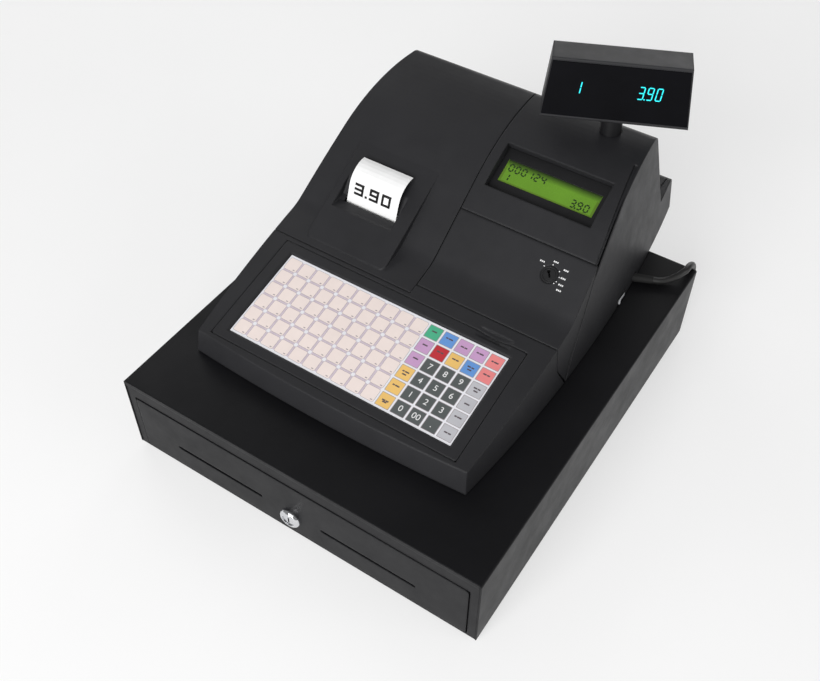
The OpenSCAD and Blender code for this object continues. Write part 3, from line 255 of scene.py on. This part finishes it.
def lead_points():
    """Middle line of the lead in millimetres: grommet, over the drawer's edge, floor, coil, plug."""
    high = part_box("mains_strain_relief")[1]
    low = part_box("mains_strain_relief")[0]
    turn = math.radians(GLAND_TURN)
    tip_r = 3.8
    gland_z = low[2] / MM + 4.2
    start = (high[0] / MM - tip_r * math.sin(turn), high[1] / MM - tip_r * math.cos(turn), gland_z)
    top_run = [(167, 140, gland_z - 0.3), (172, 143.5, gland_z - 0.2), (177, 148.5, gland_z + 1),
               (182, 154.5, gland_z + 3.6)]
    bend_r = 28.0
    over_edge = [(186, 162.7 + bend_r * math.cos(math.radians(a)), 79.2 + bend_r * math.sin(math.radians(a)))
                 for a in range(90, -1, -15)]
    fall = [(185, 191, 62), (181, 191.5, 48), (174, 192.5, 35), (164, 194, 23.5), (152, 195, 14.5),
            (141, 195.2, 8.5), (130, 195, 4.8)]
    floor_bend = [(COIL_X + COIL_OUTER + 30 * (1 + math.cos(math.radians(a))),
                   225 + 30 * math.sin(math.radians(a)), 3.6) for a in range(-90, -171, -16)]
    plug_y = COIL_Y + COIL_OUTER
    to_plug = [(COIL_X, plug_y, 11.9), (COIL_X - 11, plug_y, 11.3), (COIL_X - 18, plug_y, 10.8),
               (COIL_X - 26, plug_y, 8.7), (COIL_X - 34, plug_y, 7.2), (COIL_X - 41, plug_y, 7.0)]
    return [start] + top_run + over_edge + fall + floor_bend + coil_points() + to_plug


def make_lead():
    """The whole lead as one tube, from the strain relief to the plug."""
    points = lead_points()
    data = bpy.data.curves.new("mains_lead_whole", "CURVE")
    data.dimensions = "3D"
    data.bevel_depth = LEAD_D / 2 * MM
    data.bevel_resolution = 3
    data.use_fill_caps = True
    spline = data.splines.new("POLY")
    spline.points.add(len(points) - 1)
    for slot, point in zip(spline.points, points):
        slot.co = (point[0] * MM, point[1] * MM, point[2] * MM, 1.0)
    lead = bpy.data.objects.new("mains_lead_whole", data)
    bpy.context.scene.collection.objects.link(lead)
    data.materials.append(make_material("lead_sheath", (0.010, 0.010, 0.010), 0.45, mottle=0.15,
                                        grain_scale=800.0, grain_depth=0.04))
    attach(lead, ROOT)
    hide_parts("mains_lead", "mains_lead_coil")


make_lead()


# ---------------------------------------------------------------- thin printed pieces

def slope(origin, tilt, yaw=0.0):
    """A plane through origin: x to the right, y up the slope, z out of it."""
    return (Matrix.Translation(origin) @ Matrix.Rotation(math.radians(yaw), 4, "Z")
            @ Matrix.Rotation(math.radians(tilt), 4, "X"))


def middle(node):
    """Middle of a CAD node's box."""
    low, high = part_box(node)
    return (Vector(low) + Vector(high)) / 2


def rectangle(x, y, w, h):
    """Corners of a rectangle centred on (x, y), in millimetres."""
    return [(x - w / 2, y - h / 2), (x + w / 2, y - h / 2), (x + w / 2, y + h / 2), (x - w / 2, y + h / 2)]


def rounded(x, y, w, h, r, steps=4):
    """Corners of a rectangle centred on (x, y) with its corners rounded to radius r."""
    outline = []
    for corner, (sx, sy) in enumerate([(1, -1), (1, 1), (-1, 1), (-1, -1)]):
        for i in range(steps + 1):
            angle = math.radians(-90 + 90 * corner + 90 * i / steps)
            outline.append((x + sx * (w / 2 - r) + r * math.cos(angle),
                            y + sy * (h / 2 - r) + r * math.sin(angle)))
    return outline


def plates(name, outlines, bottom, top, place, material, body=ROOT):
    """One piece made of thin flat plates; outlines and heights are in millimetres on the plane."""
    verts, faces = [], []
    for outline in outlines:
        n, first = len(outline), len(verts)
        for height in (bottom, top):
            verts += [place @ Vector((x * MM, y * MM, height * MM)) for x, y in outline]
        faces.append([first + n + i for i in range(n)])
        faces.append([first + i for i in reversed(range(n))])
        faces += [[first + i, first + (i + 1) % n, first + n + (i + 1) % n, first + n + i] for i in range(n)]
    mesh = bpy.data.meshes.new(name)
    mesh.from_pydata(verts, [], faces)
    mesh.materials.append(material)
    piece = bpy.data.objects.new(name, mesh)
    bpy.context.scene.collection.objects.link(piece)
    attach(piece, body)
    return piece


def lettering(name, text, size, x, y, height, place, material, body=ROOT):
    """A number standing on a plane, its middle at (x, y); size and places are in millimetres."""
    data = bpy.data.curves.new(name, "FONT")
    data.body = text
    data.size = size * MM
    data.align_x = "CENTER"
    data.align_y = "CENTER"
    data.extrude = 0.01 * MM
    data.materials.append(material)
    piece = bpy.data.objects.new(name, data)
    bpy.context.scene.collection.objects.link(piece)
    piece.matrix_world = place @ Matrix.Translation((x * MM, y * MM, height * MM))
    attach(piece, body)
    return piece


# Segments of a digit as (x, y) ends in units of its width and half height
SEGMENTS = {"a": ((0, 2), (1, 2)), "b": ((1, 1), (1, 2)), "c": ((1, 0), (1, 1)), "d": ((0, 0), (1, 0)),
            "e": ((0, 0), (0, 1)), "f": ((0, 1), (0, 2)), "g": ((0, 1), (1, 1))}
DIGITS = {"0": "abcdef", "1": "bc", "2": "abged", "3": "abgcd", "4": "fgbc", "5": "afgcd",
          "6": "afgedc", "7": "abc", "8": "abcdefg", "9": "abcdfg"}


def segment_digits(text, x, y, width, height, stroke, pitch, lean=0.12):
    """Outlines of seven-segment digits from (x, y) to the right; a dot takes no place of its own."""
    outlines = []
    for character in text:
        if character == ".":
            outlines.append(rectangle(x - (pitch - width) / 2, y, stroke * 1.2, stroke * 1.2))
            continue
        for segment in DIGITS[character]:
            (ax, ay), (bx, by) = SEGMENTS[segment]
            a = Vector((x + ax * width + lean * ay * height / 2, y + ay * height / 2))
            b = Vector((x + bx * width + lean * by * height / 2, y + by * height / 2))
            along = (b - a).normalized()
            side = Vector((-along.y, along.x)) * stroke / 2
            a, b = a + along * stroke * 0.35, b - along * stroke * 0.35
            outlines.append([tuple(a - side), tuple(b - side), tuple(b + side), tuple(a + side)])
        x += pitch
    return outlines


# ---------------------------------------------------------------- key sheet

KEY_PITCH = 16.0
PRODUCT_COLUMNS = 10
COLUMNS = 15
ROWS = 6
SHEET_T = 0.6
CELL = 13.6
CELL_R = 1.6
BLOCK_CELL_R = 0.6
OUTLINE = 0.3
BAR = 1.7
WORD_H = 1.4
WORD_GAP = 0.5
NUMBER_SIZE = 8.4

# Heights of the printed layers above the sheet, in millimetres
BAR_TOP = 0.02
OUTLINE_TOP = 0.03
CELL_TOP = 0.05
WORD_TOP = 0.07

INK = make_material("grey_ink", (0.32, 0.28, 0.29), 0.45, mottle=0.15, mottle_scale=200.0)
WHITE_INK = make_material("white_ink", (0.80, 0.80, 0.80), 0.40, mottle=0.05, mottle_scale=200.0)
WORD_INK = make_material("word_ink", (0.09, 0.07, 0.08), 0.45, mottle=0.20, mottle_scale=200.0)

CELL_COLOURS = {
    "green": (0.07, 0.42, 0.24),
    "blue": (0.13, 0.30, 0.66),
    "violet": (0.56, 0.33, 0.56),
    "pink": (0.80, 0.24, 0.24),
    "red": (0.50, 0.03, 0.04),
    "yellow": (0.82, 0.52, 0.16),
    "dark": (0.09, 0.10, 0.10),
    "grey": (0.50, 0.50, 0.53),
}

# The block of function keys, from the back row to the front row
BLOCK = [
    ["green", "blue", "violet", "violet", "pink"],
    ["violet", "red", "yellow", "blue", "pink"],
    ["violet", "dark", "dark", "dark", "grey"],
    ["yellow", "dark", "dark", "dark", "grey"],
    ["yellow", "dark", "dark", "dark", "grey"],
    ["yellow", "dark", "dark", "dark", "grey"],
]
NUMBERS = {2: ["7", "8", "9"], 3: ["4", "5", "6"], 4: ["1", "2", "3"], 5: ["0", "00", "."]}

# Lengths of the bars that stand for a printed word on a function key, in millimetres
WORDS = [[3.4, 2.8], [5.2], [2.2, 4.4]]
SECOND_WORD = [4.2]
SECOND_WORD_DROP = 1.6
SECOND_WORD_CHANCE = 0.4


def cell_centre(column, row):
    """Middle of a key: column from the left, row from the back, both from 0."""
    return ((column - (COLUMNS - 1) / 2) * KEY_PITCH, ((ROWS - 1) / 2 - row) * KEY_PITCH)


def word_bars(x, y, lengths):
    """Short bars side by side that stand for a printed word."""
    outlines = []
    x -= (sum(lengths) + WORD_GAP * (len(lengths) - 1)) / 2
    for length in lengths:
        outlines.append(rectangle(x + length / 2, y, length, WORD_H))
        x += length + WORD_GAP
    return outlines


def product_cells(place):
    """The plain product keys with lilac bars between them and a small mark in each corner."""
    cells = [cell_centre(c, r) for c in range(PRODUCT_COLUMNS) for r in range(ROWS)]
    half = KEY_PITCH / 2
    bars = [rectangle(x + half, y, BAR, CELL - 1) for x, y in cells if x < cells[-1][0] - 1]
    bars += [rectangle(x, y - half, CELL - 1, BAR) for x, y in cells if y > cells[-1][1] + 1]
    lilac = make_material("lilac_ink", (0.60, 0.51, 0.58), 0.42, mottle=0.06, mottle_scale=120.0)
    plates("product_key_bars", bars, 0.0, BAR_TOP, place, lilac)
    outer = CELL + 2 * OUTLINE
    plates("product_key_outlines", [rounded(x, y, outer, outer, CELL_R + OUTLINE) for x, y in cells],
           0.0, OUTLINE_TOP, place, INK)
    cream = make_material("cream_film", (0.84, 0.73, 0.69), 0.36, mottle=0.03, mottle_scale=40.0)
    plates("product_keys", [rounded(x, y, CELL, CELL, CELL_R) for x, y in cells], 0.0, CELL_TOP,
           place, cream)
    mark_x, mark_y, mark_w, mark_h = 4.1, -5.0, 2.2, 0.9
    marks = [rectangle(x + mark_x + random.uniform(-0.3, 0.3), y + mark_y, mark_w, mark_h)
             for x, y in cells]
    plates("product_key_marks", marks, 0.0, WORD_TOP, place, INK)


def block_cells(place):
    """The function and number keys: one plate per key, with bars for words or a number on it."""
    outlines, by_colour, words = [], {name: [] for name in CELL_COLOURS}, []
    inner, outer = CELL - OUTLINE, CELL + 0.7
    for row, colours in enumerate(BLOCK):
        for column, colour in enumerate(colours):
            x, y = cell_centre(PRODUCT_COLUMNS + column, row)
            outlines.append(rounded(x, y, outer, outer, BLOCK_CELL_R + 0.2))
            by_colour[colour].append(rounded(x, y, inner, inner, BLOCK_CELL_R))
            if colour != "dark":
                word_y = y + random.choice([0.0, 1.3])
                words += word_bars(x, word_y, random.choice(WORDS))
                if random.random() < SECOND_WORD_CHANCE:
                    words += word_bars(x, y - SECOND_WORD_DROP, SECOND_WORD)
    plates("function_key_outlines", outlines, 0.0, OUTLINE_TOP, place, INK)
    for name, shapes in by_colour.items():
        film = make_material(name + "_film", CELL_COLOURS[name], 0.36, mottle=0.05, mottle_scale=50.0)
        plates("function_keys_" + name, shapes, 0.0, CELL_TOP, place, film)
    plates("function_key_words", words, 0.0, WORD_TOP, place, WORD_INK)
    for row, texts in NUMBERS.items():
        for column, text in enumerate(texts):
            x, y = cell_centre(PRODUCT_COLUMNS + 1 + column, row)
            name = "key_number_" + (text if text != "." else "point")
            lettering(name, text, NUMBER_SIZE, x, y, CELL_TOP + 0.01, place, WHITE_INK)


def make_key_sheet():
    """Prints both fields of keys on the upper face of the sheet."""
    place = slope(middle("key_sheet"), DECK_TILT) @ Matrix.Translation((0, 0, SHEET_T / 2 * MM))
    product_cells(place)
    block_cells(place)


make_key_sheet()


# ---------------------------------------------------------------- displays

# Sizes of the operator display's digits and the heights of its two rows' feet, in millimetres
LCD_DIGIT = {"width": 4.0, "height": 7.2, "stroke": 1.4, "pitch": 6.8, "lean": 0.0}
LCD_ROWS = (1.2, -9.0)
LCD_GREEN = (0.12, 0.27, 0.02)
LCD_LEFT = -45.0
LCD_PRICE_X = 25.5
LCD_FIELD = (94, 20)
# Painted shadow: darker strips of green across the top of the LCD field stand in for the bezel's shadow
LCD_SHADOW_STEPS = 7
LCD_SHADOW_TOP = 11.5
# Painted light: a small glow that lifts the unlit LCD field; the painted shadow strips dim it with their
# green
LCD_PAINTED_GLOW = 0.05


def make_lcd_text():
    """Two lines of dark digits on the operator display, on a green field with a painted shadow of the bezel
    across its top.
    """
    frame_t, glass_below = 1.5, 0.6
    place = slope(middle("lcd_frame"), LCD_TILT)
    level = frame_t / 2 - glass_below
    dark = make_material("lcd_segments", (0.012, 0.03, 0.005), 0.35, mottle=0.15, mottle_scale=150.0)
    digits = segment_digits("000124", LCD_LEFT, LCD_ROWS[0], **LCD_DIGIT)
    digits += segment_digits("1", LCD_LEFT, LCD_ROWS[1], **LCD_DIGIT)
    digits += segment_digits("3.90", LCD_PRICE_X, LCD_ROWS[1], **LCD_DIGIT)
    plates("lcd_digits", digits, level, level + 0.04, place, dark)
    field = make_material("lcd_field", LCD_GREEN, 0.24, mottle=0.08, mottle_scale=25.0, glow=LCD_PAINTED_GLOW)
    plates("lcd_field", [rectangle(0, 0, *LCD_FIELD)], level, level + 0.02, place, field)
    # Painted shadow of the bezel: the strips are darkest at the top and a step lighter each further down the
    # field
    for step in range(LCD_SHADOW_STEPS):
        share = (step + 1) / (LCD_SHADOW_STEPS + 1)
        painted_shadow_film = make_material("lcd_painted_shadow_%d" % step, shade(LCD_GREEN, share)[:3], 0.24, mottle=0.08,
                               mottle_scale=25.0, glow=LCD_PAINTED_GLOW * share)
        strip = rectangle(0, LCD_SHADOW_TOP - step, LCD_FIELD[0] + 4, 1.0)
        plates("lcd_painted_shadow_%d" % step, [strip], level, level + 0.03, place, painted_shadow_film)


# Sizes of the customer display's digits in millimetres
CUSTOMER_DIGIT = {"width": 4.6, "height": 11.5, "stroke": 1.0, "pitch": 8.0}
CUSTOMER_FOOT = 25.0


def make_customer_digits():
    """Glowing digits on the front of the customer display."""
    head_front = -11.6
    pole = JOINTS["display_turn"]["pos_m"]
    foot = Vector((pole[0], pole[1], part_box("display_head")[0][2]))
    place = (Matrix.Translation(foot) @ Matrix.Rotation(math.radians(DISPLAY_YAW), 4, "Z")
             @ Matrix.Translation((0, head_front * MM, 0))
             @ Matrix.Rotation(math.radians(90 - DISPLAY_LEAN), 4, "X"))
    cyan = make_material("cyan_glow", (0.01, 0.50, 0.56), 0.30, mottle=0.08, mottle_scale=90.0, glow=1.15)
    digits = segment_digits("1", -39.0, CUSTOMER_FOOT, **CUSTOMER_DIGIT)
    digits += segment_digits("3.90", 18.0, CUSTOMER_FOOT, **CUSTOMER_DIGIT)
    plates("customer_digits", digits, 0.02, 0.08, place, cyan, "head")


make_lcd_text()
make_customer_digits()


# ---------------------------------------------------------------- mode lock legends

TICK_DISTANCE = 9.6
TICK = 0.9
LEGEND_TOP = 0.25

# Directions of the marks round the mode lock, in degrees, with their distance in millimetres
LEGENDS = [(146, 15.8), (95, 12.9), (40, 14.2), (7, 11.8), (-21, 13.4), (-38, 16.3)]


def make_lock_legends():
    """Bars that stand for the words round the mode lock, and a white dot at each of its places."""
    place = slope(Vector(JOINTS["mode_key_turn"]["pos_m"]), LOCK_TILT)
    bars, ticks = [], []
    for angle, distance in LEGENDS:
        turn = math.radians(angle)
        x, y = distance * math.cos(turn), distance * math.sin(turn)
        bars += word_bars(x + 1.6, y, [1.3, 1.2, 1.1])
        ticks.append(rectangle(TICK_DISTANCE * math.cos(turn), TICK_DISTANCE * math.sin(turn), TICK, TICK))
    plates("mode_lock_legends", bars, 0.0, LEGEND_TOP, place, WHITE_INK)
    plates("mode_lock_ticks", ticks, 0.0, LEGEND_TOP, place, WHITE_INK)


make_lock_legends()


# ---------------------------------------------------------------- receipt print

# The receipt leaves its slot straight, then bends back round a radius, in millimetres and degrees
RECEIPT_BEND = 24.7
BEND_START = 162.0
BEND_END = 84.0
PRINT_FOOT = -5.5

# Faces of a block whose corners are counted by end, then side, then height
BLOCK_FACES = [(1, 3, 7, 5), (0, 4, 6, 2), (0, 2, 3, 1), (4, 5, 7, 6), (0, 1, 5, 4), (2, 6, 7, 3)]

# The printed total: each digit with its left edge from the middle of the paper
TOTAL = [(-21.0, "3"), (-3.5, "9"), (10.5, "0")]
TOTAL_POINT = -8.3


def receipt_point(x, along, lift):
    """A place on the receipt: x to the right, along from the start of its bend, lift above its face."""
    low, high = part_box("receipt_paper")
    bend_y = high[1] / MM - RECEIPT_BEND * math.cos(math.radians(BEND_END))
    bend_z = high[2] / MM - RECEIPT_BEND
    turn = math.radians(BEND_START) - max(along, 0.0) / RECEIPT_BEND
    straight = min(along, 0.0)
    reach = RECEIPT_BEND + lift
    return ((low[0] + high[0]) / 2 + x * MM,
            (bend_y + reach * math.cos(turn) + straight * math.sin(turn)) * MM,
            (bend_z + reach * math.sin(turn) - straight * math.cos(turn)) * MM)


def make_receipt_print():
    """A bold total printed on the receipt's outer face, bent with the paper."""
    thick, wide, tall, step_length = 2.6, 8.0, 9.6, 1.2
    verts, faces = [], []

    def stroke(x0, x1, along0, along1):
        """A bar from x0 to x1 that runs round the paper in short steps."""
        steps = math.ceil((along1 - along0) / step_length)
        for i in range(steps):
            first = len(verts)
            ends = [along0 + (along1 - along0) * (i + part) / steps for part in (0, 1)]
            for along, x, lift in itertools.product(ends, (x0, x1), (0.02, 0.08)):
                verts.append(receipt_point(x, along, lift))
            faces.extend([first + corner for corner in face] for face in BLOCK_FACES)

    for x, digit in TOTAL:
        for segment in DIGITS[digit]:
            (ax, ay), (bx, by) = SEGMENTS[segment]
            stroke(x + ax * wide - thick / 2, x + bx * wide + thick / 2,
                   PRINT_FOOT + ay * tall / 2 - thick / 2, PRINT_FOOT + by * tall / 2 + thick / 2)
    stroke(TOTAL_POINT - thick / 2, TOTAL_POINT + thick / 2, PRINT_FOOT - thick / 2, PRINT_FOOT + thick / 2)
    mesh = bpy.data.meshes.new("receipt_print")
    mesh.from_pydata(verts, [], faces)
    mesh.materials.append(make_material("print_ink", (0.008, 0.008, 0.008), 0.60, mottle=0.20,
                                        mottle_scale=200.0, specular=0.2))
    piece = bpy.data.objects.new("receipt_print", mesh)
    bpy.context.scene.collection.objects.link(piece)
    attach(piece, "cover")


make_receipt_print()


# ---------------------------------------------------------------- stage and lights

def make_floor():
    """A wide pale floor; its own glow keeps it evenly pale away from the lights."""
    mesh = bpy.data.meshes.new("floor")
    half = 14.0
    corners = [(-half, -half, 0), (half, -half, 0), (half, half, 0), (-half, half, 0)]
    mesh.from_pydata(corners, [], [(0, 1, 2, 3)])
    mesh.materials.append(make_material("pale_floor", (0.45, 0.45, 0.45), 0.80, mottle=0.01,
                                        mottle_scale=2.0, specular=0.1, glow=1.16))
    floor = bpy.data.objects.new("floor", mesh)
    bpy.context.scene.collection.objects.link(floor)


def area_light(name, place, aim, size, power):
    """A square soft light at a place, turned to its aim."""
    data = bpy.data.lights.new(name, "AREA")
    data.shape = "SQUARE"
    data.size = size
    data.energy = power
    light = bpy.data.objects.new(name, data)
    bpy.context.scene.collection.objects.link(light)
    facing = (Vector(aim) - Vector(place)).to_track_quat("-Z", "Y").to_matrix().to_4x4()
    light.matrix_world = Matrix.Translation(place) @ facing


def make_world(strength):
    """An even surround of dim white light."""
    world = bpy.data.worlds.new("studio")
    bpy.context.scene.world = world
    world.use_nodes = True
    background = world.node_tree.nodes["Background"]
    background.inputs["Color"].default_value = (1.0, 1.0, 1.0, 1.0)
    background.inputs["Strength"].default_value = strength


make_floor()
make_world(0.25)
area_light("front_key", (0.2, -2.6, 1.35), (0, 0, 0.1), 1.8, 90.0)
area_light("right_fill", (2.3, 0.2, 1.2), (0.1, 0.0, 0.1), 1.2, 12.0)
area_light("left_rim", (-1.8, 0.9, 1.5), (0, 0.1, 0.1), 1.2, 8.0)
area_light("back_fill", (-0.5, 2.6, 0.9), (0, 0.1, 0.1), 1.4, 13.0)
bpy.context.scene.view_settings.view_transform = "Standard"
